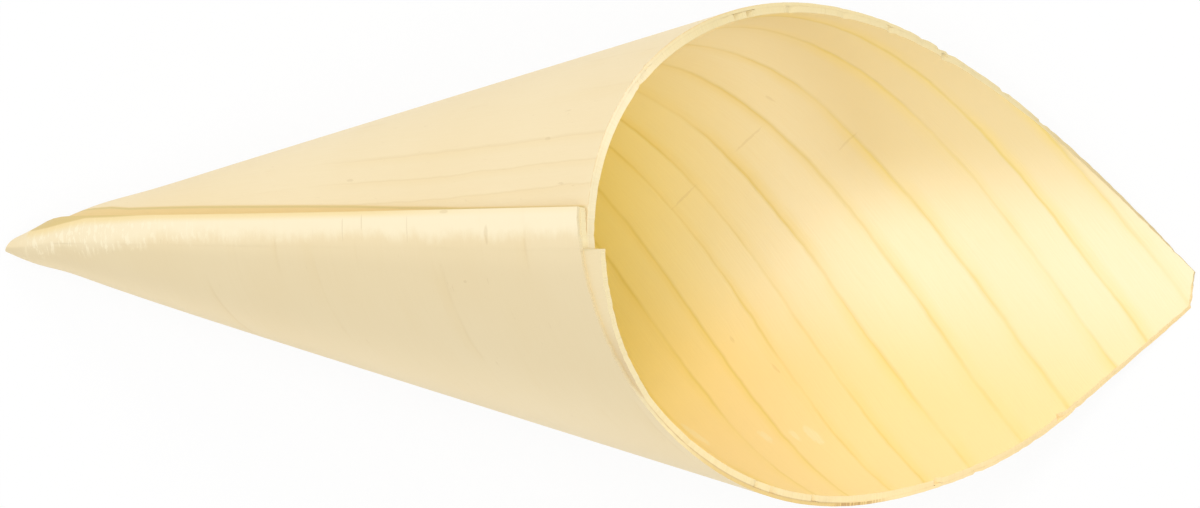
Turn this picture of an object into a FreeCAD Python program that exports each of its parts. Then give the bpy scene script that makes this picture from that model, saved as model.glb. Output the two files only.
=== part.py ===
import FreeCAD, Part
import math
import os

# Small food cone rolled from one corner of a nearly square sheet of cross-grained veneer.
# Lengths are in millimetres and angles in degrees.

# The flat sheet: corner A becomes the tip, corner C the far point of the mouth.
SEAM_EDGE = 60.0
TUCKED_EDGE = 61.3
LOWER_RIM_EDGE = 61.8
CORNER_A = 89.6
CORNER_B = 94.3
VENEER = 0.73
CLIP_ON_UPPER_RIM = 1.6
CLIP_ON_LOWER_RIM = 1.9

# The lower rim is cut a little round: it swells outward about one place on its far half.
RIM_SWELL = 0.93
RIM_SWELL_ANGLE = 35.9
RIM_SWELL_SPREAD = 4.3

# Beside corner B the face grain has split off the rim, and the grain under it stands out as a tongue.
TONGUE_START = 3.0
TONGUE_END = 13.6
TONGUE_REACH = 1.6
TONGUE_ROOT = 1.2
TONGUE_INNER = 0.04
TONGUE_OUTER = 0.66

# The roll: the cone's virtual apex lies beside corner A, so the seam curves near the tip.
HALF_ANGLE = 14.17
SEAM_EDGE_TILT = 1.75
SEAM_EDGE_OFFSET = 1.28
GLUE_SHARE = 0.07
OVAL = 0.34
OVAL_AZIMUTH = 57.0
EGG = 0.23
EGG_AZIMUTH = 78.0
SEAM_AZIMUTH = 79.3

# The tip: pressed thin, bent a little to one side, its cut edge sloping back from one point.
TIP_START = 0.45
TIP_POINT_ANGLE = 20.0
TIP_SLOPE = 0.0008
FLAP_END_ANGLE = -25.0
PRESSED_THICKNESS = 0.12
PRESSED_LENGTH = 7.0
TIP_BEND = 0.39
TIP_BEND_LENGTH = 4.8

# The side it lies on is flat by a hair toward the mouth, as veneer is between its growth lines.
RESTING_FLAT = 0.2
FLAT_START = 12.0
FLAT_END = 78.0
REST_MIDDLE = 36.0
REST_SEARCH_FROM = 10.0
REST_SEARCH_TO = 80.0
REST_SEARCH_STEPS = 700

# Half-way through the veneer, how finely the curved faces are laid out, and the small step
# that gives a face's direction.
MID_DEPTH = 0.5
STEPS_ACROSS = 8
STEPS_AROUND = 20
STEPS_ON_TONGUE = 6
TIP_CROWDING = 1.6
SMALL = 0.001

FULL_TURN = 2.0 * math.pi


def rad(angle):
    return math.radians(angle)


def sheet_corners():
    """Corners of the flat sheet, with the cone's virtual apex at the origin."""
    along = (math.cos(rad(SEAM_EDGE_TILT)), math.sin(rad(SEAM_EDGE_TILT)))
    a = (SEAM_EDGE_OFFSET * along[1], -SEAM_EDGE_OFFSET * along[0])
    b = (a[0] + SEAM_EDGE * along[0], a[1] + SEAM_EDGE * along[1])
    toward_d = rad(SEAM_EDGE_TILT + CORNER_A)
    d = (a[0] + TUCKED_EDGE * math.cos(toward_d), a[1] + TUCKED_EDGE * math.sin(toward_d))
    toward_c = rad(SEAM_EDGE_TILT + 180.0 - CORNER_B)
    c = (b[0] + LOWER_RIM_EDGE * math.cos(toward_c), b[1] + LOWER_RIM_EDGE * math.sin(toward_c))
    return a, b, c, d


def thickness(reach):
    """Thickness of the veneer at a distance from the apex: thin at the pressed tip."""
    rise = 1.0 - math.exp(-reach / PRESSED_LENGTH)
    return PRESSED_THICKNESS + (VENEER - PRESSED_THICKNESS) * rise


def rolled(reach, angle, depth):
    """A point of the rolled sheet. depth runs from 0 on the inner face to 1 on the outer face."""
    turn = angle / math.sin(rad(HALF_ANGLE))
    azimuth = rad(SEAM_AZIMUTH) + turn
    oval = OVAL * math.cos(2.0 * (azimuth - rad(OVAL_AZIMUTH)))
    egg = EGG * math.cos(3.0 * (azimuth - rad(EGG_AZIMUTH)))
    slope = rad(HALF_ANGLE + oval + egg)
    here = thickness(reach)
    step = here * (1.0 + GLUE_SHARE) * (1.0 - turn / FULL_TURN)
    outward = step + here * (depth - MID_DEPTH)
    radius = reach * math.sin(slope) + outward * math.cos(slope)
    along = reach * math.cos(slope) - outward * math.sin(slope)
    sideways = TIP_BEND * math.exp(-((along / TIP_BEND_LENGTH) ** 4))
    return FreeCAD.Vector(along, radius * math.cos(azimuth) - sideways, radius * math.sin(azimuth))


def rolled_flat(point, depth):
    """The place on the rolled sheet of a point of the flat sheet."""
    return rolled(math.hypot(point[0], point[1]), flat_angle(point), depth)


def tip_reach(angle):
    """Where the sheet starts along the generator at this flat angle."""
    return TIP_START + TIP_SLOPE * (math.degrees(angle) - TIP_POINT_ANGLE) ** 2


def reach_to(angle, start, end):
    """Where the generator at this flat angle crosses the straight edge from start to end."""
    run = (end[0] - start[0], end[1] - start[1])
    across = math.cos(angle) * run[1] - math.sin(angle) * run[0]
    return (start[0] * run[1] - start[1] * run[0]) / across


def rim_swell(angle):
    """How far the rim runs past the sheet's straight edge at this flat angle."""
    return RIM_SWELL * math.exp(-(((math.degrees(angle) - RIM_SWELL_ANGLE) / RIM_SWELL_SPREAD) ** 2))


def flat_angle(point):
    return math.atan2(point[1], point[0])


def toward(start, end, distance):
    """The point at a distance from start on the straight line to end."""
    share = distance / math.hypot(end[0] - start[0], end[1] - start[1])
    return (start[0] + share * (end[0] - start[0]), start[1] + share * (end[1] - start[1]))


def beside(start, end, point, distance):
    """The point at a distance from the straight line from start to end, on its right-hand side."""
    length = math.hypot(end[0] - start[0], end[1] - start[1])
    across = ((end[1] - start[1]) / length, (start[0] - end[0]) / length)
    return (point[0] + distance * across[0], point[1] + distance * across[1])


def angles_along(start, end, count):
    """Flat angles of evenly spaced points along one straight edge."""
    angles = []
    for share in even_shares(count):
        x = start[0] + share * (end[0] - start[0])
        y = start[1] + share * (end[1] - start[1])
        angles.append(math.atan2(y, x))
    return angles


def even_shares(count):
    return [i / count for i in range(count + 1)]


def through(points):
    """A smooth curve through evenly numbered points."""
    curve = Part.BSplineCurve()
    curve.interpolate(Points=points, Parameters=even_shares(len(points) - 1))
    return curve


def smooth_surface(rows):
    """A smooth surface through a grid of points. Surfaces that share a row meet exactly."""
    around = [through(list(column)) for column in zip(*rows)]
    pole_rows = list(zip(*[curve.getPoles() for curve in around]))
    across = [through(list(poles)) for poles in pole_rows]
    surface = Part.BSplineSurface()
    surface.buildFromPolesMultsKnots(
        [curve.getPoles() for curve in across],
        around[0].getMultiplicities(),
        across[0].getMultiplicities(),
        around[0].getKnots(),
        across[0].getKnots(),
        False,
        False,
        around[0].Degree,
        across[0].Degree,
    )
    return surface


def skin(angles, start, end, depth):
    """One face of the sheet between the tip and the straight edge from start to end."""
    rows = []
    for angle in angles:
        near = tip_reach(angle)
        far = reach_to(angle, start, end) + rim_swell(angle)
        shares = [share ** TIP_CROWDING for share in even_shares(STEPS_ACROSS)]
        rows.append([rolled(near + share * (far - near), angle, depth) for share in shares])
    return smooth_surface(rows)


def wall(curve_inside, curve_outside):
    """The cut edge of the sheet between its inner and outer faces."""
    return Part.makeRuledSurface(curve_inside.toShape(), curve_outside.toShape(), 1)


def sewn(faces):
    """One closed solid from faces that meet edge to edge."""
    shell = Part.Compound(faces)
    shell.sewShape()
    body = Part.Solid(shell.Shells[0])
    if body.Volume < 0:
        body.reverse()
    return body


def rolled_sheet():
    a, b, c, d = sheet_corners()
    flap_end = rad(FLAP_END_ANGLE)
    first = reach_to(flap_end, a, b)
    seam_start = (first * math.cos(flap_end), first * math.sin(flap_end))
    spans = [
        (seam_start, b, a, b),
        (b, c, b, c),
        (c, d, c, d),
    ]
    faces = []
    for number, (begin, finish, start, end) in enumerate(spans):
        angles = angles_along(begin, finish, STEPS_AROUND)
        inner = skin(angles, start, end, 0.0)
        outer = skin(angles, start, end, 1.0)
        faces += [inner.toShape(), outer.toShape()]
        u0, u1, v0, v1 = inner.bounds()
        faces.append(wall(inner.vIso(v0), outer.vIso(v0)))
        faces.append(wall(inner.vIso(v1), outer.vIso(v1)))
        if number == 0:
            faces.append(wall(inner.uIso(u0), outer.uIso(u0)))
        if number == len(spans) - 1:
            faces.append(wall(inner.uIso(u1), outer.uIso(u1)))
    return sewn(faces)


def rim_tongue():
    """The layer of inner grain that stands out of the rim beside corner B."""
    b, c = sheet_corners()[1:3]
    begin = toward(b, c, TONGUE_START)
    finish = toward(b, c, TONGUE_END)
    peak = beside(b, c, begin, TONGUE_REACH)
    root_begin = beside(b, c, begin, -TONGUE_ROOT)
    root_finish = beside(b, c, finish, -TONGUE_ROOT)
    skins = []
    for depth in (TONGUE_INNER, TONGUE_OUTER):
        rows = []
        for share in even_shares(STEPS_ON_TONGUE):
            x = peak[0] + share * (finish[0] - peak[0])
            y = peak[1] + share * (finish[1] - peak[1])
            angle = flat_angle((x, y))
            near = reach_to(angle, root_begin, root_finish)
            far = math.hypot(x, y)
            reaches = [near + part * (far - near) for part in even_shares(STEPS_ON_TONGUE)]
            rows.append([rolled(reach, angle, depth) for reach in reaches])
        skins.append(smooth_surface(rows))
    inner, outer = skins
    u0, u1, v0, v1 = inner.bounds()
    return sewn([
        inner.toShape(),
        outer.toShape(),
        wall(inner.vIso(v0), outer.vIso(v0)),
        wall(inner.vIso(v1), outer.vIso(v1)),
        wall(inner.uIso(u0), outer.uIso(u0)),
        wall(inner.uIso(u1), outer.uIso(u1)),
    ])


def with_clipped_corner(body):
    """The far point of the mouth is trimmed a little, so the cone has no sharp spike."""
    b, c, d = sheet_corners()[1:]
    on_lower_rim = toward(c, b, CLIP_ON_LOWER_RIM)
    on_upper_rim = toward(c, d, CLIP_ON_UPPER_RIM)
    first = rolled_flat(on_lower_rim, MID_DEPTH)
    second = rolled_flat(on_upper_rim, MID_DEPTH)
    along = (second - first).normalize()
    outward = rolled_flat(c, MID_DEPTH) - first
    outward = (outward - along * outward.dot(along)).normalize()
    normal = along.cross(outward)
    margin = CLIP_ON_UPPER_RIM + CLIP_ON_LOWER_RIM
    corners = [
        first - along * margin,
        second + along * margin,
        second + along * margin + outward * margin,
        first - along * margin + outward * margin,
    ]
    corners = [corner - normal * margin for corner in corners]
    profile = Part.Face(Part.makePolygon(corners + corners[:1]))
    return body.cut(profile.extrude(normal * 2.0 * margin)).Solids[0]


def outward_normal(angle, reach):
    """Direction square to the outer face, pointing away from it."""
    here = rolled(reach, angle, 1.0)
    along = rolled(reach + SMALL, angle, 1.0) - here
    around = rolled(reach, angle + SMALL, 1.0) - here
    return around.cross(along).normalize()


def resting_generator(body):
    """The generator of the outer face that the loose cone comes to rest on."""
    centre = body.CenterOfMass

    def height(angle):
        return (rolled(REST_MIDDLE, angle, 1.0) - centre).dot(outward_normal(angle, REST_MIDDLE))

    run = REST_SEARCH_TO - REST_SEARCH_FROM
    tries = [rad(REST_SEARCH_FROM + run * share) for share in even_shares(REST_SEARCH_STEPS)]
    return min(tries, key=height)


def laid_down(body):
    """The cone lying on its side: tip toward -X, mouth toward +X, resting on Z = 0."""
    angle = resting_generator(body)
    down = outward_normal(angle, REST_MIDDLE)
    near = rolled(FLAT_START, angle, 1.0)
    far = rolled(FLAT_END, angle, 1.0) - down * RESTING_FLAT
    x_axis = (far - near).normalize()
    z_axis = down * -1.0
    z_axis = (z_axis - x_axis * z_axis.dot(x_axis)).normalize()
    y_axis = z_axis.cross(x_axis)
    turn = FreeCAD.Matrix(
        x_axis.x, x_axis.y, x_axis.z, 0.0,
        y_axis.x, y_axis.y, y_axis.z, 0.0,
        z_axis.x, z_axis.y, z_axis.z, 0.0,
    )
    lying = body.copy()
    lying.transformShape(turn, True)
    lying.translate(FreeCAD.Vector(0.0, 0.0, -near.dot(z_axis)))
    box = lying.optimalBoundingBox()
    corner = FreeCAD.Vector(box.XMin - VENEER, box.YMin - VENEER, box.ZMin - VENEER)
    ground = Part.makeBox(box.XLength + 2 * VENEER, box.YLength + 2 * VENEER, -corner.z, corner)
    lying = lying.cut(ground).Solids[0]
    box = lying.optimalBoundingBox()
    lying.translate(FreeCAD.Vector(-box.Center.x, -box.Center.y, 0.0))
    return lying


os.makedirs("parts", exist_ok=True)
sheet = rolled_sheet().fuse(rim_tongue())
cone = laid_down(with_clipped_corner(sheet))
cone.exportStep("parts/rolled_veneer_cone.step")
print("valid", cone.isValid(), "solids", len(cone.Solids), "volume", round(cone.Volume, 1))
print("box", cone.optimalBoundingBox(), "centre of mass", cone.CenterOfMass)
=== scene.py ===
import math

import bpy
import numpy as np
from mathutils import Euler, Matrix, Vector


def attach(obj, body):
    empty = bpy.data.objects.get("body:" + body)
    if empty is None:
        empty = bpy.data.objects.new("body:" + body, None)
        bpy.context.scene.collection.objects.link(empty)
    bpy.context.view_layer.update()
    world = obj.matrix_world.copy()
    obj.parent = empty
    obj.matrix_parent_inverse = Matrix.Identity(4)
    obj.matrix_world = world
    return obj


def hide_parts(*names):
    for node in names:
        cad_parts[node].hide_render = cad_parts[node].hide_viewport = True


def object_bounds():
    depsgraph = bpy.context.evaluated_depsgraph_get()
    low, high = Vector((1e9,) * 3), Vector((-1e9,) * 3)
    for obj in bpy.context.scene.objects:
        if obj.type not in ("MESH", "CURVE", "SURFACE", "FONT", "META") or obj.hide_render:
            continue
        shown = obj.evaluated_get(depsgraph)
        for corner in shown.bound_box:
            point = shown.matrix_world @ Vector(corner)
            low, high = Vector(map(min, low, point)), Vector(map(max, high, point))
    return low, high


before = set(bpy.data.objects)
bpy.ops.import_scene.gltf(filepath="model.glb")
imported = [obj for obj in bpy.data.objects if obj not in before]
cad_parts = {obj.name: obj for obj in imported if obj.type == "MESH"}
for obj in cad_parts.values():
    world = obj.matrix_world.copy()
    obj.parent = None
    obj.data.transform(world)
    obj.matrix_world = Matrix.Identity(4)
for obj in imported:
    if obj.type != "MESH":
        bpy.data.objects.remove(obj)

CAD_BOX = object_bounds()
MM = 0.001

# Lengths are in millimetres, angles in degrees and powers in watts.
# The flat sheet: corner A becomes the tip, corner C the far point of the mouth.
SEAM_EDGE = 60.0
TUCKED_EDGE = 61.3
LOWER_RIM_EDGE = 61.8
CORNER_A = 89.6
CORNER_B = 94.3
VENEER = 0.73
CLIP_ON_UPPER_RIM = 1.6
CLIP_ON_LOWER_RIM = 1.9

# The lower rim is cut a little round: it swells outward about one place on its far half.
RIM_SWELL = 0.93
RIM_SWELL_ANGLE = 35.9
RIM_SWELL_SPREAD = 4.3

# Beside corner B the outer ply has split off the rim, and the inner ply stands out as a tongue.
TONGUE_START = 2.7
TONGUE_END = 13.6
TONGUE_REACH = 1.6

# The roll about the cone's virtual apex, which lies beside corner A.
HALF_ANGLE = 14.17
SEAM_EDGE_TILT = 1.75
SEAM_EDGE_OFFSET = 1.28
GLUE_SHARE = 0.07
MID_DEPTH = 0.5
OVAL = 0.34
OVAL_AZIMUTH = 57.0
EGG = 0.23
EGG_AZIMUTH = 78.0
SEAM_AZIMUTH = 79.3

# The tip: pressed thin, bent a little to one side, its cut edge sloping back from one point.
TIP_START = 0.45
TIP_POINT_ANGLE = 20.0
TIP_SLOPE = 0.0008
FLAP_END_ANGLE = -25.0
PRESSED_THICKNESS = 0.12
PRESSED_LENGTH = 7.0
TIP_BEND = 0.39
TIP_BEND_LENGTH = 4.8

# Near the tip the sheet swells a little beside the lap.
TIP_SWELL = 0.2
TIP_SWELL_ANGLE = 74.0
TIP_SWELL_SPREAD = 6.0
TIP_SWELL_REACH = 9.5
TIP_SWELL_LENGTH = 3.5

# The strip that it lies on, and the small step that gives a face's direction.
REST_ANGLE = 45.0
REST_MIDDLE = 36.0
FLAT_START = 12.0
FLAT_END = 78.0
RESTING_FLAT = 0.2
SMALL = 0.001

# How the sheet is divided before it is rolled, with its rows and the lap's columns crowded to the tip.
FLAP_COLUMNS = 26
CORNER_COLUMNS = 8
TONGUE_COLUMNS = 34
RIM_COLUMNS = 136
CLIP_COLUMNS = 10
UPPER_RIM_COLUMNS = 164
TUCKED_COLUMNS = 30
ROWS = 60
FLAP_CROWDING = 1.8
ROW_CROWDING = 1.3

# Depths of the layers of points: the inner ply, the glue and the outer ply lie between them.
PLY_DEPTHS = (0.0, 0.60, 0.67, 1.0)
TOP_LAYER = len(PLY_DEPTHS) - 1
GLUE_BOTTOM = 1
GLUE_TOP = 2

# Wear of the cut edges: fine fibres, broad hollows and a few splinters, less where glue holds them.
FIBRE_WEAR = 0.035
HOLLOW_WEAR = 0.05
HOLLOW_COLUMNS = 9
SPLINTER_CHANCE = 0.035
SHORT_SPLINTER = 0.1
LONG_SPLINTER = 0.32
GLUED_WEAR = 0.3
INNER_PLY_SEED = 5
OUTER_PLY_SEED = 8

# The finishes in their order on the piece, and the largest angle that is shaded smooth.
INNER, OUTER, CUT = 0, 1, 2
SMOOTH_ANGLE = 40.0
FLAT_SHEET = "flat_sheet"
THROUGH_SHEET = "through_sheet"


def sheet_corners():
    """Corners of the flat sheet, with the cone's virtual apex at the origin."""
    tilt = math.radians(SEAM_EDGE_TILT)
    along = np.array([math.cos(tilt), math.sin(tilt)])
    a = SEAM_EDGE_OFFSET * np.array([along[1], -along[0]])
    b = a + SEAM_EDGE * along
    toward_d = tilt + math.radians(CORNER_A)
    d = a + TUCKED_EDGE * np.array([math.cos(toward_d), math.sin(toward_d)])
    toward_c = tilt + math.radians(180.0 - CORNER_B)
    c = b + LOWER_RIM_EDGE * np.array([math.cos(toward_c), math.sin(toward_c)])
    return a, b, c, d


def bell(value, middle, spread):
    return np.exp(-(((value - middle) / spread) ** 2))


def rolled(reach, angle, depth):
    """Places on the rolled sheet, with depth 0 on its inner face and 1 on its outer face."""
    turn = angle / math.sin(math.radians(HALF_ANGLE))
    azimuth = math.radians(SEAM_AZIMUTH) + turn
    oval = OVAL * np.cos(2.0 * (azimuth - math.radians(OVAL_AZIMUTH)))
    egg = EGG * np.cos(3.0 * (azimuth - math.radians(EGG_AZIMUTH)))
    slope = np.radians(HALF_ANGLE + oval + egg)
    here = PRESSED_THICKNESS + (VENEER - PRESSED_THICKNESS) * (1.0 - np.exp(-reach / PRESSED_LENGTH))
    step = here * (1.0 + GLUE_SHARE) * (1.0 - turn / (2.0 * math.pi))
    beside_tip = bell(np.degrees(angle), TIP_SWELL_ANGLE, TIP_SWELL_SPREAD)
    swell = TIP_SWELL * beside_tip * bell(reach, TIP_SWELL_REACH, TIP_SWELL_LENGTH)
    outward = step + here * (depth - MID_DEPTH) + swell
    radius = reach * np.sin(slope) + outward * np.cos(slope)
    along = reach * np.cos(slope) - outward * np.sin(slope)
    sideways = TIP_BEND * np.exp(-((along / TIP_BEND_LENGTH) ** 4))
    return np.stack([along, radius * np.cos(azimuth) - sideways, radius * np.sin(azimuth)], axis=-1)


def reach_to(angle, start, end):
    """Where the generator at each flat angle crosses the straight edge from start to end."""
    run = end - start
    across = np.cos(angle) * run[1] - np.sin(angle) * run[0]
    return (start[0] * run[1] - start[1] * run[0]) / across


def toward(start, end, distance):
    """The point at a distance from start on the straight line to end."""
    return start + (end - start) * distance / np.linalg.norm(end - start)


def angles_along(start, end, count, crowding=1.0):
    """Flat angles of points along one straight edge."""
    shares = np.linspace(0.0, 1.0, count + 1) ** crowding
    points = start + shares[:, None] * (end - start)
    return np.arctan2(points[:, 1], points[:, 0])


def lying_frame():
    """Directions of the frame in which the cone lies, as rows, and the ground's height in it."""
    angle = math.radians(REST_ANGLE)
    here = rolled(REST_MIDDLE, angle, 1.0)
    along = rolled(REST_MIDDLE + SMALL, angle, 1.0) - here
    around = rolled(REST_MIDDLE, angle + SMALL, 1.0) - here
    down = np.cross(around, along)
    down /= np.linalg.norm(down)
    near = rolled(FLAT_START, angle, 1.0)
    far = rolled(FLAT_END, angle, 1.0) - down * RESTING_FLAT
    x_axis = (far - near) / np.linalg.norm(far - near)
    z_axis = -down - x_axis * np.dot(-down, x_axis)
    z_axis /= np.linalg.norm(z_axis)
    axes = np.stack([x_axis, np.cross(z_axis, x_axis), z_axis])
    return axes, np.dot(near, z_axis)


def worn_edge(count, seed):
    """How far a cut edge is worn back at each column."""
    rng = np.random.default_rng(seed)
    fibres = np.abs(rng.normal(0.0, FIBRE_WEAR, count))
    places = np.arange(0, count + HOLLOW_COLUMNS, HOLLOW_COLUMNS)
    depths = np.abs(rng.normal(0.0, HOLLOW_WEAR, count // HOLLOW_COLUMNS + 2))
    hollows = np.interp(np.arange(count), places, depths)
    is_splinter = rng.random(count) < SPLINTER_CHANCE
    splinters = np.where(is_splinter, rng.uniform(SHORT_SPLINTER, LONG_SPLINTER, count), 0.0)
    wear = fibres + hollows + splinters
    wear[:FLAP_COLUMNS] *= GLUED_WEAR
    wear[-TUCKED_COLUMNS:] *= GLUED_WEAR
    return wear


def sheet_columns():
    """The flat angle of each column, and how far the inner and the outer ply reach along it."""
    a, b, c, d = sheet_corners()
    flap_end = math.radians(FLAP_END_ANGLE)
    seam_start = reach_to(flap_end, a, b) * np.array([math.cos(flap_end), math.sin(flap_end)])
    tongue_begin = toward(b, c, TONGUE_START)
    tongue_finish = toward(b, c, TONGUE_END)
    away = np.array([c[1] - b[1], b[0] - c[0]]) / np.linalg.norm(c - b)
    peak = tongue_begin + TONGUE_REACH * away
    clip_low = toward(c, b, CLIP_ON_LOWER_RIM)
    clip_high = toward(c, d, CLIP_ON_UPPER_RIM)
    parts = [
        (angles_along(seam_start, b, FLAP_COLUMNS, FLAP_CROWDING)[:-1], a, b, None),
        (angles_along(b, tongue_begin, CORNER_COLUMNS), b, c, None),
        (angles_along(peak, tongue_finish, TONGUE_COLUMNS)[:-1], b, c, (peak, tongue_finish)),
        (angles_along(tongue_finish, clip_low, RIM_COLUMNS)[:-1], b, c, None),
        (angles_along(clip_low, clip_high, CLIP_COLUMNS)[:-1], clip_low, clip_high, None),
        (angles_along(clip_high, d, UPPER_RIM_COLUMNS), c, d, None),
    ]
    angles, inner, outer = [], [], []
    for part_angles, start, end, tongue in parts:
        far = reach_to(part_angles, start, end)
        angles.append(part_angles)
        outer.append(far)
        inner.append(reach_to(part_angles, *tongue) if tongue else far)
    angles = np.concatenate(angles)
    swell = RIM_SWELL * bell(np.degrees(angles), RIM_SWELL_ANGLE, RIM_SWELL_SPREAD)
    return angles, np.concatenate(inner) + swell, np.concatenate(outer) + swell


def extruded_sheet(columns, rows, layers):
    """A flat counted sheet: one unit square per column and row, one unit thick per layer."""
    bpy.ops.object.select_all(action="DESELECT")
    bpy.ops.mesh.primitive_grid_add(
        x_subdivisions=columns, y_subdivisions=rows, size=1.0, location=(0.5, 0.5, 0.0)
    )
    sheet = bpy.context.object
    bpy.ops.object.mode_set(mode="EDIT")
    bpy.ops.mesh.select_all(action="SELECT")
    bpy.ops.transform.resize(value=(columns, rows, 1.0), center_override=(0.0, 0.0, 0.0))
    for _ in range(layers):
        bpy.ops.mesh.extrude_region_move(TRANSFORM_OT_translate={"value": (0.0, 0.0, 1.0)})
    bpy.ops.mesh.select_all(action="SELECT")
    bpy.ops.mesh.normals_make_consistent(inside=False)
    bpy.ops.object.mode_set(mode="OBJECT")
    bpy.ops.object.transform_apply(location=True, rotation=True, scale=True)
    return sheet


def rolled_veneer():
    """The sheet of two cross-grained plies, rolled into the cone and laid on its side."""
    angles, inner_reach, outer_reach = sheet_columns()
    columns = len(angles) - 1
    sheet = extruded_sheet(columns, ROWS, TOP_LAYER)
    sheet.name = "rolled_veneer"
    mesh = sheet.data

    counted = np.empty(len(mesh.vertices) * 3)
    mesh.vertices.foreach_get("co", counted)
    column, row, layer = np.rint(counted.reshape(-1, 3)).astype(int).T

    angle = angles[column]
    depth = np.array(PLY_DEPTHS)[layer]
    in_inner_ply = layer < GLUE_TOP
    full_reach = np.where(in_inner_ply, inner_reach[column], outer_reach[column])
    inner_wear = worn_edge(columns + 1, INNER_PLY_SEED)
    outer_wear = worn_edge(columns + 1, OUTER_PLY_SEED)
    worn_reach = full_reach - np.where(in_inner_ply, inner_wear[column], outer_wear[column])
    near = TIP_START + TIP_SLOPE * (np.degrees(angle) - TIP_POINT_ANGLE) ** 2
    share = (row / ROWS) ** ROW_CROWDING

    axes, ground = lying_frame()
    unworn = rolled(near + share * (full_reach - near), angle, depth) @ axes.T
    box_middle = (np.array(CAD_BOX[0]) + np.array(CAD_BOX[1])) / 2.0 / MM
    shift = box_middle - (unworn.min(0) + unworn.max(0)) / 2.0
    shift[2] = -ground
    reach = near + share * (worn_reach - near)
    placed = rolled(reach, angle, depth) @ axes.T + shift
    placed[:, 2] = np.maximum(placed[:, 2], 0.0)
    mesh.vertices.foreach_set("co", (placed * MM).ravel())

    keep_flat_layout(mesh, reach, angle, depth)
    has_tongue = inner_reach > outer_reach
    give_finishes(mesh, layer, (row == ROWS) & has_tongue[column])
    bpy.ops.object.select_all(action="DESELECT")
    sheet.select_set(True)
    bpy.context.view_layer.objects.active = sheet
    bpy.ops.object.shade_smooth_by_angle(angle=math.radians(SMOOTH_ANGLE))
    return sheet


def keep_flat_layout(mesh, reach, angle, depth):
    """Each point keeps its place on the flat sheet and its depth in it, for the finishes to read."""
    loop_vertex = np.empty(len(mesh.loops), dtype=int)
    mesh.loops.foreach_get("vertex_index", loop_vertex)
    flat = np.stack([reach * np.cos(angle), reach * np.sin(angle)], axis=-1)
    layout = mesh.uv_layers.new(name=FLAT_SHEET)
    layout.data.foreach_set("uv", flat[loop_vertex].ravel())
    through = mesh.attributes.new(THROUGH_SHEET, "FLOAT", "POINT")
    through.data.foreach_set("value", depth)


def give_finishes(mesh, layer, at_tongue):
    """The tongue's bared ledge has the inner face's finish, and every other edge is cut."""
    face_of = np.full(len(mesh.polygons), CUT)
    for number, polygon in enumerate(mesh.polygons):
        corners = list(polygon.vertices)
        lowest, highest = layer[corners].min(), layer[corners].max()
        is_ledge = lowest == GLUE_BOTTOM and highest == GLUE_TOP and at_tongue[corners].all()
        if highest == 0 or is_ledge:
            face_of[number] = INNER
        elif lowest == TOP_LAYER:
            face_of[number] = OUTER
    for finish in (inner_face(), outer_face(), cut_edge()):
        mesh.materials.append(finish)
    mesh.polygons.foreach_set("material_index", face_of)
    mesh.update()


# Numbers of the sockets that a Mix node has for colours.
MIX_SHARE = 0
MIX_FIRST = 6
MIX_SECOND = 7
MIX_RESULT = 2


class Value:
    """A number or colour that varies over a surface: sums and products of it are Math nodes."""

    def __init__(self, finish, socket):
        self.finish = finish
        self.socket = socket

    def worked(self, operation, *numbers):
        return self.finish.node("Math", {"operation": operation}, numbers)

    def __add__(self, other):
        return self.worked("ADD", self, other)

    def __sub__(self, other):
        return self.worked("SUBTRACT", self, other)

    def __mul__(self, other):
        return self.worked("MULTIPLY", self, other)

    def __truediv__(self, other):
        return self.worked("DIVIDE", self, other)

    def __pow__(self, other):
        return self.worked("POWER", self, other)

    def __radd__(self, other):
        return self.worked("ADD", other, self)

    def __rsub__(self, other):
        return self.worked("SUBTRACT", other, self)

    def __rmul__(self, other):
        return self.worked("MULTIPLY", other, self)

    def size(self):
        return self.worked("ABSOLUTE", self)

    def fraction(self):
        return self.worked("FRACT", self)

    def or_more(self, other):
        return self.worked("MAXIMUM", self, other)

    def angle_to(self, other):
        """The angle in degrees whose rise is this value and whose run is the other."""
        return self.worked("ARCTAN2", self, other) * math.degrees(1.0)


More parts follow.
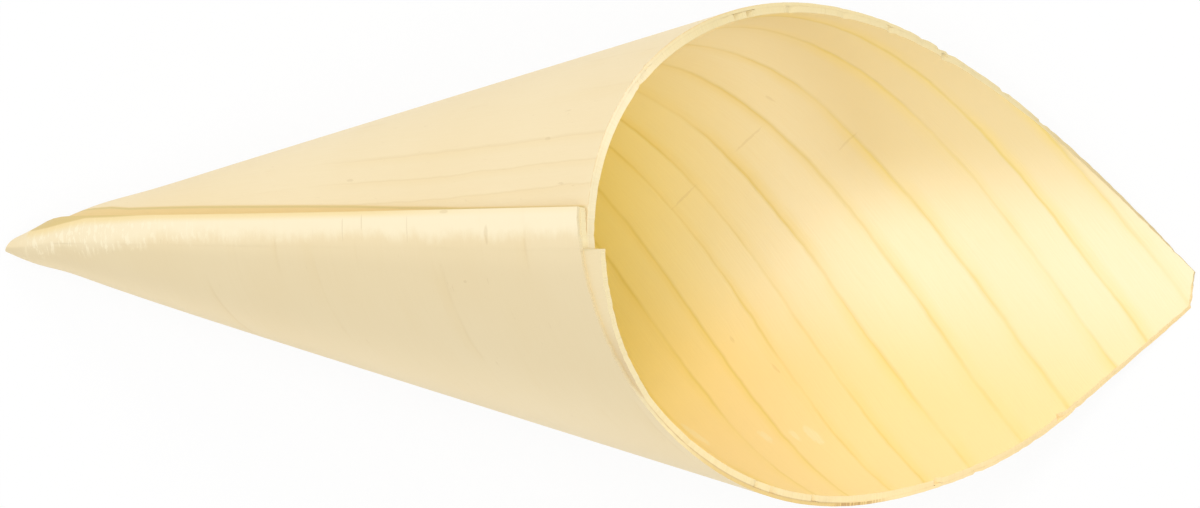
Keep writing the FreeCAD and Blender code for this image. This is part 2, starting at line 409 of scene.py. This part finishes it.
class Finish:
    """One material and the nodes that it is made of."""

    def __init__(self, name, shine):
        self.material = bpy.data.materials.new(name)
        self.material.use_nodes = True
        self.tree = self.material.node_tree
        self.shader = self.tree.nodes["Principled BSDF"]
        self.feed("Specular IOR Level", shine)

    def node(self, kind, settings, values, output=0):
        made = self.tree.nodes.new("ShaderNode" + kind)
        for name, setting in settings.items():
            if name == "stops":
                bend_line(made.mapping, setting)
            else:
                setattr(made, name, setting)
        named = values.items() if isinstance(values, dict) else enumerate(values)
        for key, value in named:
            self.fill(made.inputs[key], value)
        return Value(self, made.outputs[output])

    def fill(self, socket, value):
        if isinstance(value, Value):
            self.tree.links.new(value.socket, socket)
        else:
            socket.default_value = value

    def feed(self, name, value):
        self.fill(self.shader.inputs[name], value)

    def rise(self, value, low, high, to_low=0.0, to_high=1.0):
        """A smooth step from to_low to to_high while value goes from low to high."""
        values = (value, low, high, to_low, to_high)
        return self.node("MapRange", {"interpolation_type": "SMOOTHSTEP"}, values)

    def curve(self, value, stops):
        """A number read off straight runs between stops, each of them a place and a height."""
        span = stops[-1][0]
        top = max(height for _, height in stops)
        scaled = [(place / span, height / top) for place, height in stops]
        return self.node("FloatCurve", {"stops": scaled}, {"Value": value / span}) * top

    def mottle(self, along, across, noise):
        """A number from 0 to 1 that changes in soft patches along and across the grain."""
        turns_along, turns_across, detail, roughness, shift = noise
        place = self.node("CombineXYZ", {}, (along * turns_along, across * turns_across + shift, 0.0))
        values = {"Vector": place, "Scale": 1.0, "Detail": detail, "Roughness": roughness}
        return self.node("TexNoise", {}, values)

    def blended(self, share, first, second, mode="MIX"):
        """The first colour at share 0 and the second, or their product, at share 1."""
        settings = {"data_type": "RGBA", "blend_type": mode}
        values = {MIX_SHARE: share, MIX_FIRST: first, MIX_SECOND: second}
        return self.node("Mix", settings, values, MIX_RESULT)

    def tinted(self, shade, mask, tint):
        """The shade with a tint on it, which is a strength and a colour."""
        strength, tone = tint
        return self.blended(mask * strength, shade, tone)

    def bump(self, height, distance, strength):
        values = {"Height": height, "Distance": distance, "Strength": strength}
        self.feed("Normal", self.node("Bump", {}, values))


class VeneerFinish(Finish):
    """A finish of the veneer, which knows the place on the flat sheet and the depth in it."""

    def __init__(self, name, shine):
        super().__init__(name, shine)
        flat = self.node("UVMap", {"uv_map": FLAT_SHEET}, (), "UV")
        self.x = self.node("SeparateXYZ", {}, (flat,), "X")
        self.y = Value(self, self.x.socket.node.outputs["Y"])
        self.through = self.node("Attribute", {"attribute_name": THROUGH_SHEET}, (), "Fac")

    def reach(self):
        """Distance from the apex on the flat sheet."""
        return (self.x * self.x + self.y * self.y) ** 0.5

    def angle(self):
        """Flat angle about the apex, in degrees."""
        return self.y.angle_to(self.x)


def bend_line(mapping, stops):
    """Sets a curve's line to straight runs between stops."""
    line = mapping.curves[0]
    line.points[0].location, line.points[1].location = stops[0], stops[-1]
    for location in stops[1:-1]:
        line.points.new(*location)
    for point in line.points:
        point.handle_type = "VECTOR"
    mapping.update()


def colour(red, green, blue):
    """A colour from the 0 to 255 values that it shows on a screen."""
    shares = [value / 255.0 for value in (red, green, blue)]
    linear = [((share + 0.055) / 1.055) ** 2.4 if share > 0.04 else share / 12.92 for share in shares]
    return (*linear, 1.0)


# Growth lines of each face, as distances across its grain, and how far the grain slants on the sheet.
INNER_LINES = (
    3.0, 6.1, 8.6, 11.4, 14.0, 16.5, 19.6, 22.2, 25.7, 28.4, 31.9,
    35.1, 37.7, 40.8, 43.3, 46.7, 50.9, 54.9, 59.3, 62.0, 65.7,
)
OUTER_LINES = (
    1.5, 3.3, 7.2, 11.1, 14.4, 18.6, 22.2, 26.1, 30.3,
    34.0, 38.3, 42.2, 46.6, 50.7, 54.8, 59.0, 62.6,
)
INNER_SLANT = 0.085
OUTER_SLANT = -0.05
SHEET_SPAN = 70.0

# Each noise has its turns per millimetre along and across the grain, its detail, roughness and shift.
# The lines wander by a slow and a quick noise, each as far as the number beside it.
INNER_DRIFT = (0.05, 0.12, 2.0, 0.5, 0.0)
INNER_RIPPLE = (0.5, 0.3, 2.0, 0.5, 0.0)
INNER_WANDER = ((INNER_DRIFT, 0.9), (INNER_RIPPLE, 0.22))
OUTER_DRIFT = (0.05, 0.1, 2.0, 0.5, 5.0)
OUTER_RIPPLE = (0.4, 0.35, 2.0, 0.5, 0.0)
OUTER_WANDER = ((OUTER_DRIFT, 1.2), (OUTER_RIPPLE, 0.3))

# How far a mark's outline is torn along x and y, and the soft edge between outside and inside.
MARK_TEAR_X = 2.2
MARK_TEAR_Y = 1.2
MARK_EDGE = (1.4, 0.3)


def growth(finish, across, lines):
    """Share of the way from one growth line to the next, from 0 to 1."""
    stops = [(place, number) for number, place in enumerate((0.0, *lines, SHEET_SPAN))]
    return finish.curve(across, stops).fraction()


def wandering(finish, along, across, wander):
    """The place across the grain, moved so that straight growth lines drift and ripple."""
    moved = across
    for noise, width in wander:
        moved = moved + (finish.mottle(along, across, noise) - 0.5) * width
    return moved


def marks(finish, torn, places):
    """Small oval marks, each given by its place on the flat sheet and its half lengths."""
    ovals = []
    for x, y, half_x, half_y in places:
        off_x = (finish.x - x) / half_x + torn * MARK_TEAR_X
        off_y = (finish.y - y) / half_y + torn * MARK_TEAR_Y
        ovals.append(finish.rise(off_x * off_x + off_y * off_y, *MARK_EDGE))
    most = ovals[0]
    for oval in ovals[1:]:
        most = most.or_more(oval)
    return most


# Both faces: their relief in metres, how strongly it shows, and the roughness between the fibres.
FACE_RELIEF = 0.03 * MM
FACE_BUMP = 0.6
FACE_ROUGHNESS = 0.4

# The inner face: its shine, what its fibres add in roughness, the heights of its relief and its noises.
INNER_SHINE = 0.5
INNER_FIBRE_ROUGHNESS = 0.16
INNER_FIBRE_HEIGHT = 0.5
INNER_LINE_HEIGHT = 0.4
CRACK_HEIGHT = 0.3
INNER_CLOUD = (0.07, 0.11, 3.0, 0.5, 3.0)
INNER_FIBRE = (0.35, 9.0, 3.0, 0.6, 0.0)
INNER_TEAR = (1.2, 2.2, 3.0, 0.6, 0.0)
INNER_LINE_NOISE = (0.09, 0.2, 3.0, 0.5, 0.0)
INNER_SIDE_NOISE = (0.04, 0.1, 1.0, 0.5, 7.0)

# Its growth lines: where one starts, counted from the middle between two, and the golden wood beside it.
INNER_LINE = (0.43, 0.5)
INNER_LINE_STRENGTH = (0.35, 0.62, 0.3, 1.0)
EARLY_WOOD = (0.3, 0.0)
LATE_WOOD = (0.72, 1.0)
ONE_SIDE = (0.42, 0.58)

# Its regions, each a run of the reach from the apex, the flat angle, y or the depth through the sheet.
# A tint is a strength and a colour.
FAR_POINT_REACH = (65.0, 76.0)
# Painted shade on the upper wall inside the cone.
UPPER_WALL_SHADE_REACH = (58.0, 66.0)
UPPER_WALL_SHADE_ANGLE = (47.0, 53.0)
# Painted warm bounce light, golden, low in the cone and deep in it.
LOW_BOUNCE_ANGLE = (46.0, 37.0)
DEEP_BOUNCE_REACH = (60.0, 40.0)
# Painted shadow where the bared ledge narrows under the outer ply's edge.
LEDGE_SHADOW_Y = (7.0, 11.0)
BARED_DEPTH = (0.3, 0.5)
INSIDE_PALE = colour(255, 244, 212)
INSIDE_CREAM = colour(252, 239, 200)
FAR_POINT_TINT = (0.7, colour(251, 234, 194))
UPPER_WALL_SHADE_TINT = (0.8, colour(228, 206, 153))
LOW_BOUNCE_TINT = (0.8, colour(255, 223, 151))
DEEP_BOUNCE_TINT = (1.0, colour(250, 231, 126))
RUBBED_TINT = (0.4, colour(255, 244, 210))
INNER_FIBRE_TINT = (0.3, colour(236, 212, 140))
INNER_HALO_TINT = (0.42, colour(242, 214, 108))
INNER_LINE_TINT = (0.32, colour(212, 186, 50))
CRACK_TINT = (0.13, colour(186, 150, 66))
BARED_PALE = colour(236, 218, 176)
BARED_FIBRE_TINT = (0.5, colour(226, 204, 156))
LEDGE_SHADOW_TINT = (0.5, colour(206, 180, 136))

INNER_CRACKS = (
    (32.6, 39.4, 0.09, 1.3),
    (32.9, 46.2, 0.09, 1.5),
    (37.9, 50.9, 0.09, 1.1),
    (42.5, 35.2, 0.4, 0.12),
    (46.4, 36.2, 0.45, 0.1),
    (31.8, 50.0, 0.4, 0.12),
)
RUBBED_SPOTS = (
    (53.1, 34.9, 1.2, 0.34),
    (52.3, 33.9, 0.8, 0.2),
    (51.3, 32.2, 0.9, 0.25),
    (48.6, 28.3, 1.6, 0.25),
)


def inner_face():
    """Pale face with growth lines that run with the seam, more golden deep in the cone and low in it from
    painted warm bounce light, with painted shade on its upper wall.
    """
    finish = VeneerFinish("Inner face, grain along the seam", INNER_SHINE)
    along = finish.x - finish.y * INNER_SLANT
    across = wandering(finish, along, finish.y + finish.x * INNER_SLANT, INNER_WANDER)
    share = growth(finish, across, INNER_LINES)
    line = finish.rise((share - 0.5).size(), *INNER_LINE)
    strength = finish.rise(finish.mottle(along, across, INNER_LINE_NOISE), *INNER_LINE_STRENGTH)
    side = finish.rise(finish.mottle(along, across, INNER_SIDE_NOISE), *ONE_SIDE)
    early = finish.rise(share, *EARLY_WOOD)
    late = finish.rise(share, *LATE_WOOD)
    halo = (early * side + late * (1.0 - side)) * strength
    cloud = finish.mottle(along, across, INNER_CLOUD)
    fibre = finish.mottle(along, across, INNER_FIBRE)
    torn = finish.mottle(along, across, INNER_TEAR) - 0.5
    crack = marks(finish, torn, INNER_CRACKS)
    # Painted shade on the upper wall inside the cone.
    high = finish.rise(finish.angle(), *UPPER_WALL_SHADE_ANGLE) * finish.rise(finish.reach(), *UPPER_WALL_SHADE_REACH)

    shade = finish.blended(cloud, INSIDE_PALE, INSIDE_CREAM)
    shade = finish.tinted(shade, finish.rise(finish.reach(), *FAR_POINT_REACH), FAR_POINT_TINT)
    shade = finish.tinted(shade, high, UPPER_WALL_SHADE_TINT)
    # Painted warm bounce light, golden, low in the cone and deep in it.
    shade = finish.tinted(shade, finish.rise(finish.angle(), *LOW_BOUNCE_ANGLE), LOW_BOUNCE_TINT)
    shade = finish.tinted(shade, finish.rise(finish.reach(), *DEEP_BOUNCE_REACH), DEEP_BOUNCE_TINT)
    shade = finish.tinted(shade, marks(finish, torn, RUBBED_SPOTS), RUBBED_TINT)
    shade = finish.tinted(shade, fibre, INNER_FIBRE_TINT)
    shade = finish.tinted(shade, halo, INNER_HALO_TINT)
    shade = finish.tinted(shade, line * strength, INNER_LINE_TINT)
    shade = finish.tinted(shade, crack, CRACK_TINT)
    bared = finish.tinted(BARED_PALE, fibre, BARED_FIBRE_TINT)
    # Painted shadow where the bared ledge narrows under the outer ply's edge.
    bared = finish.tinted(bared, finish.rise(finish.y, *LEDGE_SHADOW_Y), LEDGE_SHADOW_TINT)
    shade = finish.blended(finish.rise(finish.through, *BARED_DEPTH), shade, bared)
    finish.feed("Base Color", shade)
    finish.feed("Roughness", FACE_ROUGHNESS + fibre * INNER_FIBRE_ROUGHNESS)
    height = fibre * INNER_FIBRE_HEIGHT - line * INNER_LINE_HEIGHT - crack * CRACK_HEIGHT
    finish.bump(height, FACE_RELIEF, FACE_BUMP)
    return finish.material


# The outer face: its shine, what its fibres add in roughness, the heights of its relief and its noises.
OUTER_SHINE = 0.4
OUTER_FIBRE_ROUGHNESS = 0.2
OUTER_FIBRE_HEIGHT = 0.6
OUTER_LINE_HEIGHT = 0.2
FLECK_HEIGHT = 0.4
OUTER_CLOUD = (0.08, 0.1, 3.0, 0.5, 3.0)
OUTER_FIBRE = (0.3, 7.0, 3.0, 0.6, 0.0)
OUTER_TEAR = (1.2, 1.2, 3.0, 0.6, 0.0)
OUTER_LINE_NOISE = (0.12, 0.25, 3.0, 0.5, 0.0)
FLECK_NOISE = (0.9, 5.0, 2.0, 0.5, 0.0)
FLECK = (0.7, 0.78)

# Its growth lines: where one starts, counted from the middle between two, and the late wood beside it.
OUTER_LINE = (0.44, 0.495)
OUTER_LINE_STRENGTH = (0.5, 0.75)
OUTER_LATE_WOOD = (0.55, 1.0)

# Its growth lines fade toward the tip and stay clear beside the lap, and the side under the lap is darkened
# with painted shade.
LINES_REACH = (14.0, 26.0)
CLEAR_LINES_ANGLE = (79.0, 81.5)
CLEAR_LINES_REACH = (30.0, 40.0)
CLEAR_LINES = 0.75
BODY_SHADE_START = (1.0, 5.0)
BODY_SHADE_END = (19.0, 10.0)
BODY_SHADE = (0.9, 0.9, 0.89, 1.0)
OUTSIDE_PALE = colour(241, 224, 186)
OUTSIDE_CREAM = colour(236, 215, 170)
OUTER_FIBRE_TINT = (0.3, colour(234, 212, 164))
OUTER_HALO_TINT = (0.3, colour(232, 206, 150))
OUTER_LINE_TINT = (0.2, colour(208, 178, 120))
FLECK_TINT = (0.22, colour(196, 164, 110))
SPOT_TINT = (0.22, colour(190, 160, 104))

OUTER_SPOTS = (
    (39.1, 0.6, 0.07, 0.5),
    (43.6, 1.2, 0.06, 0.8),
    (37.2, 0.9, 0.07, 0.7),
    (51.3, 1.9, 0.2, 0.6),
    (48.6, 4.6, 0.16, 0.1),
    (13.5, 6.6, 0.3, 0.2),
    (3.6, 36.3, 0.1, 0.4),
    (6.1, 54.9, 0.12, 0.3),
    (3.0, 57.3, 0.08, 0.3),
    (47.2, 0.3, 0.4, 0.12),
)


def outer_face():
    """Paler face with faint growth lines across the seam, a painted highlight on the lap's edge, a golden
    band of painted shade beside the lap, and painted shade on the side under the lap.
    """
    finish = VeneerFinish("Outer face, grain across the seam", OUTER_SHINE)
    along = finish.y - finish.x * OUTER_SLANT
    across = wandering(finish, along, finish.x + finish.y * OUTER_SLANT, OUTER_WANDER)
    share = growth(finish, across, OUTER_LINES)
    line = finish.rise((share - 0.5).size(), *OUTER_LINE)
    strength = finish.rise(finish.mottle(along, across, OUTER_LINE_NOISE), *OUTER_LINE_STRENGTH)
    strength = strength * finish.rise(finish.reach(), *LINES_REACH)
    clear = finish.rise(finish.angle(), *CLEAR_LINES_ANGLE) * finish.rise(finish.reach(), *CLEAR_LINES_REACH)
    strength = strength.or_more(clear * CLEAR_LINES)
    halo = finish.rise(share, *OUTER_LATE_WOOD) * strength
    cloud = finish.mottle(along, across, OUTER_CLOUD)
    fibre = finish.mottle(along, across, OUTER_FIBRE)
    fleck = finish.rise(finish.mottle(along, across, FLECK_NOISE), *FLECK)
    torn = finish.mottle(along, across, OUTER_TEAR) - 0.5
    body_shade = finish.rise(finish.angle(), *BODY_SHADE_START) * finish.rise(finish.angle(), *BODY_SHADE_END)

    shade = finish.blended(cloud, OUTSIDE_PALE, OUTSIDE_CREAM)
    shade = finish.tinted(shade, fibre, OUTER_FIBRE_TINT)
    shade = finish.tinted(shade, halo, OUTER_HALO_TINT)
    shade = finish.tinted(shade, line * strength, OUTER_LINE_TINT)
    shade = finish.tinted(shade, fleck, FLECK_TINT)
    # Painted shade that darkens the body below the lap.
    shade = finish.blended(body_shade, shade, BODY_SHADE, "MULTIPLY")
    # A painted highlight along the lap's edge.
    shade = painted_highlight_strip(finish, shade, along, across)
    # Painted shade along the lap's edge, golden with bounced light.
    shade = painted_shade_on_lap(finish, shade)
    # Painted shade in the gap beside the lap, golden with bounced light.
    shade = painted_shade_beside_lap(finish, shade)
    shade = finish.tinted(shade, marks(finish, torn, OUTER_SPOTS), SPOT_TINT)
    finish.feed("Base Color", shade)
    finish.feed("Roughness", FACE_ROUGHNESS + fibre * OUTER_FIBRE_ROUGHNESS)
    height = fibre * OUTER_FIBRE_HEIGHT - line * OUTER_LINE_HEIGHT - fleck * FLECK_HEIGHT
    finish.bump(height, FACE_RELIEF, FACE_BUMP)
    return finish.material


# The painted highlight on the lap, a pale strip: its width at places along the lap, its noises and how its
# flakes end.
HIGHLIGHT_WIDTH = (
    (0.0, 1.3), (5.0, 1.35), (9.6, 1.6), (13.0, 1.5), (17.3, 1.25),
    (22.7, 1.05), (33.0, 1.2), (46.0, 1.38), (58.4, 1.4), (70.0, 1.4),
)
WAVER_NOISE = (0.1, 0.3, 2.0, 0.5, 0.0)
FLAKE_NOISE = (1.3, 1.9, 4.0, 0.62, 0.0)
WAVER_OF_STRIP = 1.4
WAVER_OF_FLAKES = 1.6
TEAR_OF_STRIP = 0.9
STRIP_EDGE = (0.6, -0.4)
FLAKE_EDGE = (0.75, -0.2)
FLAKE = (0.52, 0.57)
FLAKES_ALONG_LAP = (50.0, 16.0, 0.15, 1.0)
STRIP_ALONG_LAP = (6.0, 20.0, 0.45, 0.8)
STRIP_START = (1.5, 5.0)
ON_LAP = (20.0, 12.0)
HIGHLIGHT_TINT = (1.0, colour(247, 234, 200))

# The golden band, painted shade in the gap along the lap's edge: its width on the lap and beside it, at
# places along the lap, and its soft edges.
SHADE_ON_LAP = (
    (0.0, 0.0), (2.6, 0.0), (3.2, 0.6), (5.5, 0.62), (6.5, 0.55),
    (8.2, 0.36), (9.8, 0.17), (13.0, 0.12), (17.0, 0.0), (70.0, 0.0),
)
SHADE_BESIDE_LAP = (
    (0.0, 0.95), (9.6, 1.03), (11.2, 1.07), (13.4, 0.92), (21.3, 0.86), (31.9, 0.72),
    (37.0, 0.63), (42.0, 0.47), (45.0, 0.41), (48.0, 0.31), (56.0, 0.25), (70.0, 0.2),
)
EDGE_SHADE_FADE = (0.5, 0.05)
EDGE_SHADE_START = (2.4, 3.4)
EDGE_SHADE_ALONG_LAP = (52.0, 38.0, 0.2, 0.8)
GOLDEN_EDGE = (0.05, -0.08)
GOLDEN_START = (2.6, 3.2)
BESIDE_EDGE = (0.04, -0.14)
BESIDE_START = (1.5, 3.0)
BESIDE_END = (60.2, 59.4)
GAP_SHADE_RIM_PLACE = 0.16
GAP_SHADE_RIM_WIDTH = 0.14
EDGE_SHADE_TINT = (1.0, colour(240, 214, 150))
TIP_SHADE_TINT = (0.9, colour(216, 190, 122))
GAP_SHADE_GOLD = colour(231, 201, 136)
GAP_SHADE_RIM_TINT = (0.6, colour(198, 182, 116))
SHADE_BESIDE_SHARE = 0.92


def inside_lap(finish):
    """Distance from the seam edge, counted onto the lap."""
    tilt = math.radians(SEAM_EDGE_TILT)
    return finish.y * math.cos(tilt) - finish.x * math.sin(tilt) + SEAM_EDGE_OFFSET


def painted_highlight_strip(finish, shade, along, across):
    """A painted highlight: the pale strip on the lap's edge, which ends in short flakes."""
    waver = finish.mottle(along, across, WAVER_NOISE) - 0.5
    flake = finish.mottle(along, across, FLAKE_NOISE)
    below = inside_lap(finish) - finish.curve(finish.x, HIGHLIGHT_WIDTH)
    soft = finish.rise(below - waver * WAVER_OF_STRIP - (flake - 0.5) * TEAR_OF_STRIP, *STRIP_EDGE)
    flakes = finish.rise(flake, *FLAKE) * finish.rise(below - waver * WAVER_OF_FLAKES, *FLAKE_EDGE)
    flakes = flakes * finish.rise(finish.x, *FLAKES_ALONG_LAP)
    highlight_strip = (soft * finish.rise(finish.x, *STRIP_ALONG_LAP)).or_more(flakes)
    highlight_strip = highlight_strip * finish.rise(finish.y, *ON_LAP) * finish.rise(finish.x, *STRIP_START)
    return finish.tinted(shade, highlight_strip, HIGHLIGHT_TINT)


def painted_shade_on_lap(finish, shade):
    """The golden band of painted shade where it runs over the lap's edge near the tip, and a soft painted
    shade along the edge.
    """
    on_lap = finish.rise(finish.y, *ON_LAP)
    off_band = inside_lap(finish) - finish.curve(finish.x, SHADE_ON_LAP)
    # The glow is a soft painted shade along the lap's edge.
    glow = finish.rise(off_band, *EDGE_SHADE_FADE) * finish.rise(finish.x, *EDGE_SHADE_ALONG_LAP)
    shade = finish.tinted(shade, glow * on_lap * finish.rise(finish.x, *EDGE_SHADE_START), EDGE_SHADE_TINT)
    golden = finish.rise(off_band, *GOLDEN_EDGE) * on_lap * finish.rise(finish.x, *GOLDEN_START)
    return finish.tinted(shade, golden, TIP_SHADE_TINT)


def painted_shade_beside_lap(finish, shade):
    """The golden band of painted shade on the sheet below, in the gap from the lap's edge to a darker rim
    line.
    """
    turned = 2.0 * math.pi * math.sin(math.radians(HALF_ANGLE)) + math.radians(SEAM_EDGE_TILT)
    along_lap = finish.x * math.cos(turned) + finish.y * math.sin(turned)
    outside = finish.x * math.sin(turned) - finish.y * math.cos(turned) - SEAM_EDGE_OFFSET
    off_band = outside - finish.curve(along_lap, SHADE_BESIDE_LAP)
    beside = finish.rise(off_band, *BESIDE_EDGE) * finish.rise(along_lap, *BESIDE_END)
    beside = beside * finish.rise(finish.y, *BESIDE_START)
    shade_rim_line = finish.rise((off_band + GAP_SHADE_RIM_PLACE).size(), GAP_SHADE_RIM_WIDTH, 0.0)
    gap_shade = finish.tinted(GAP_SHADE_GOLD, shade_rim_line, GAP_SHADE_RIM_TINT)
    return finish.blended(beside * SHADE_BESIDE_SHARE, shade, gap_shade)


# The cut edge: its shine, roughness, relief in metres and noises.
CUT_SHINE = 0.2
CUT_ROUGHNESS = 0.75
CUT_RELIEF = 0.06 * MM
CUT_BUMP = 0.8
CUT_GRAIN = (2.4, 2.4, 3.0, 0.6, 0.0)
CUT_FIBRE = (9.0, 9.0, 2.0, 0.5, 0.0)

# Its regions, as runs of x or y on the flat sheet, or of the depth through it.
LOWER_RIM = (-1.0, 1.0)
TUCKED_END_X = (7.0, 2.0)
TOP_START_X = (2.0, 7.0)
TOP_END_X = (19.0, 9.0)
PAST_TOP_X = (9.0, 19.0)
# Painted shade on the cut face at the far end of the upper rim.
BACK_RIM_SHADE_X = (44.0, 52.0)
CORNER_DEPTH = (0.86, 0.98)
CORNER_GRAIN = (0.3, 0.5)
CORNER_X = (26.0, 18.0)
FAR_Y = (26.0, 38.0)
NEAR_LAP_Y = (17.0, 12.0)
OUTER_PLY_DEPTH = (0.66, 0.7)
LOWEST_START_Y = (17.0, 22.0)
LOWEST_END_Y = (36.0, 33.0)
CHIPS_Y = (31.0, 32.0)
CHIPS_FIBRE = (0.42, 0.5)
# The glue line between the plies, and painted shadow in the gap where they have split.
GLUE_DEPTH = 0.64
GLUE_LINE = (0.1, 0.0)
SPLIT_START_Y = (13.0, 16.0)
SPLIT_END_Y = (34.0, 30.0)
SPLIT_X = (50.0, 54.0)
CLOSED_GLUE = 0.08
SPLIT_SHADOW = 0.5

CUT_PALE = colour(246, 229, 182)
CUT_CREAM = colour(238, 216, 160)
TOP_TINT = (0.8, colour(251, 238, 204))
TUCKED_END_TINT = (0.8, colour(236, 226, 192))
PAST_TOP_TINT = (0.85, colour(223, 208, 162))
BACK_RIM_SHADE_TINT = (0.7, colour(212, 190, 140))
CORNER_TINT = (0.45, colour(222, 178, 110))
FAR_TINT = (0.9, colour(255, 228, 172))
NEAR_LAP_TINT = (0.85, colour(232, 219, 177))
OUTER_PLY_TINT = (0.85, colour(220, 207, 172))
LOWEST_TINT = (0.75, colour(220, 186, 110))
CHIPS_TINT = (0.8, colour(176, 132, 84))
CUT_FIBRE_TINT = (0.35, colour(226, 198, 142))
GLUE_AND_SHADOW_TINT = (1.0, colour(190, 152, 96))


def cut_edge():
    """End grain and long grain of the two plies, with a thin glue line where they meet, darkened with
    painted shadow where the plies have split apart.
    """
    finish = VeneerFinish("Cut edge", CUT_SHINE)
    x, y, through = finish.x, finish.y, finish.through
    grain = finish.mottle(x, y, CUT_GRAIN)
    fibre = finish.mottle(x, y, CUT_FIBRE)
    lower_rim = finish.rise(x - y, *LOWER_RIM)
    upper_rim = 1.0 - lower_rim
    top = finish.rise(x, *TOP_START_X) * finish.rise(x, *TOP_END_X) * upper_rim
    corner = finish.rise(through, *CORNER_DEPTH) * finish.rise(grain, *CORNER_GRAIN)
    corner = corner * finish.rise(x, *CORNER_X) * upper_rim
    outer_ply = finish.rise(through, *OUTER_PLY_DEPTH) * lower_rim
    near_lap = finish.rise(y, *NEAR_LAP_Y) * lower_rim
    lowest = finish.rise(y, *LOWEST_START_Y) * finish.rise(y, *LOWEST_END_Y) * outer_ply
    chips = finish.rise(y, *CHIPS_Y) * finish.rise(fibre, *CHIPS_FIBRE) * lowest
    glue = finish.rise((through - GLUE_DEPTH).size(), *GLUE_LINE)
    split_shadow = finish.rise(y, *SPLIT_START_Y) * finish.rise(y, *SPLIT_END_Y) * finish.rise(x, *SPLIT_X)

    shade = finish.blended(grain, CUT_PALE, CUT_CREAM)
    shade = finish.tinted(shade, top, TOP_TINT)
    shade = finish.tinted(shade, finish.rise(x, *TUCKED_END_X) * upper_rim, TUCKED_END_TINT)
    shade = finish.tinted(shade, finish.rise(x, *PAST_TOP_X) * upper_rim, PAST_TOP_TINT)
    # Painted shade on the cut face at the far end of the upper rim.
    shade = finish.tinted(shade, finish.rise(x, *BACK_RIM_SHADE_X) * upper_rim, BACK_RIM_SHADE_TINT)
    shade = finish.tinted(shade, corner, CORNER_TINT)
    shade = finish.tinted(shade, finish.rise(y, *FAR_Y) * lower_rim, FAR_TINT)
    shade = finish.tinted(shade, near_lap, NEAR_LAP_TINT)
    shade = finish.tinted(shade, near_lap * outer_ply, OUTER_PLY_TINT)
    shade = finish.tinted(shade, lowest, LOWEST_TINT)
    shade = finish.tinted(shade, chips, CHIPS_TINT)
    shade = finish.tinted(shade, fibre, CUT_FIBRE_TINT)
    # The glue line, with painted shadow in the gap where the plies have split.
    shade = finish.tinted(shade, glue * (CLOSED_GLUE + split_shadow * SPLIT_SHADOW), GLUE_AND_SHADOW_TINT)
    finish.feed("Base Color", shade)
    finish.feed("Roughness", CUT_ROUGHNESS)
    finish.bump(fibre + grain, CUT_RELIEF, CUT_BUMP)
    return finish.material


# The studio, in metres and watts: each lamp has its azimuth, its elevation and its power.
FLOOR_SIZE = 3.0
FLOOR_WHITE = (0.86, 0.86, 0.86, 1.0)
FLOOR_ROUGHNESS = 0.9
FLOOR_GLOW = 0.9
AIR_WHITE = (1.0, 1.0, 1.0, 1.0)
AIR_STRENGTH = 0.74
LAMP_DISTANCE = 1.2
LAMP_SIZE = 0.35
LAMPS = (
    ("mouth side", 0.0, 60.0, 2.2),
    ("lower mouth side", 315.0, 60.0, 1.6),
    ("upper mouth side", 67.0, 40.0, 2.6),
    ("overhead", 167.0, 73.0, 1.1),
    ("behind the tip", 168.0, 16.0, 0.9),
    ("low in front", 270.0, 20.0, 0.8),
)


def paper_floor():
    """White paper that keeps the cone's shadow and glows a little where the camera sees it."""
    bpy.ops.object.select_all(action="DESELECT")
    bpy.ops.mesh.primitive_plane_add(size=FLOOR_SIZE, location=(0.0, 0.0, 0.0))
    floor = bpy.context.object
    floor.name = "floor"
    paper = Finish("White paper", 0.0)
    paper.feed("Base Color", FLOOR_WHITE)
    paper.feed("Roughness", FLOOR_ROUGHNESS)
    seen = paper.node("LightPath", {}, (), "Is Camera Ray")
    matt = Value(paper, paper.shader.outputs[0])
    glow = paper.node("Emission", {}, {"Strength": 1.0})
    mixed = paper.node("MixShader", {}, (seen * FLOOR_GLOW, matt, glow))
    paper.fill(paper.tree.nodes["Material Output"].inputs["Surface"], mixed)
    floor.data.materials.append(paper.material)


def studio_air():
    world = bpy.data.worlds.new("studio air")
    bpy.context.scene.world = world
    world.use_nodes = True
    background = world.node_tree.nodes["Background"]
    background.inputs["Color"].default_value = AIR_WHITE
    background.inputs["Strength"].default_value = AIR_STRENGTH


def soft_lamp(name, azimuth, elevation, power):
    """A square lamp that faces the cone from an azimuth and an elevation."""
    azimuth, elevation = math.radians(azimuth), math.radians(elevation)
    level = math.cos(elevation)
    away = Vector((level * math.cos(azimuth), level * math.sin(azimuth), math.sin(elevation)))
    bpy.ops.object.light_add(type="AREA", location=away * LAMP_DISTANCE)
    lamp = bpy.context.object
    lamp.name = name
    lamp.data.size = LAMP_SIZE
    lamp.data.energy = power
    lamp.rotation_euler = (-away).to_track_quat("-Z", "Y").to_euler()


# The camera: its place in metres, its turn in degrees, and its lens and sensor in millimetres.
CAMERA_PLACE = (0.140071, -0.031885, 0.464932)
CAMERA_TURN = (4.72344, 16.44378, 3.18559)
CAMERA_LENS = 207.92
CAMERA_SENSOR = 36.0
CAMERA_NEAR = 0.05
CAMERA_FAR = 10.0


def camera():
    view = bpy.data.cameras.new("photo view")
    view.sensor_width = CAMERA_SENSOR
    view.lens = CAMERA_LENS
    view.clip_start = CAMERA_NEAR
    view.clip_end = CAMERA_FAR
    stand = bpy.data.objects.new("photo view", view)
    bpy.context.scene.collection.objects.link(stand)
    stand.location = CAMERA_PLACE
    stand.rotation_euler = Euler([math.radians(angle) for angle in CAMERA_TURN], "XYZ")
    bpy.context.scene.camera = stand


bpy.context.scene.view_settings.view_transform = "Standard"
cone = rolled_veneer()
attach(cone, "root")
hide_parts("rolled_veneer_cone")
paper_floor()
studio_air()
for lamp in LAMPS:
    soft_lamp(*lamp)
camera()
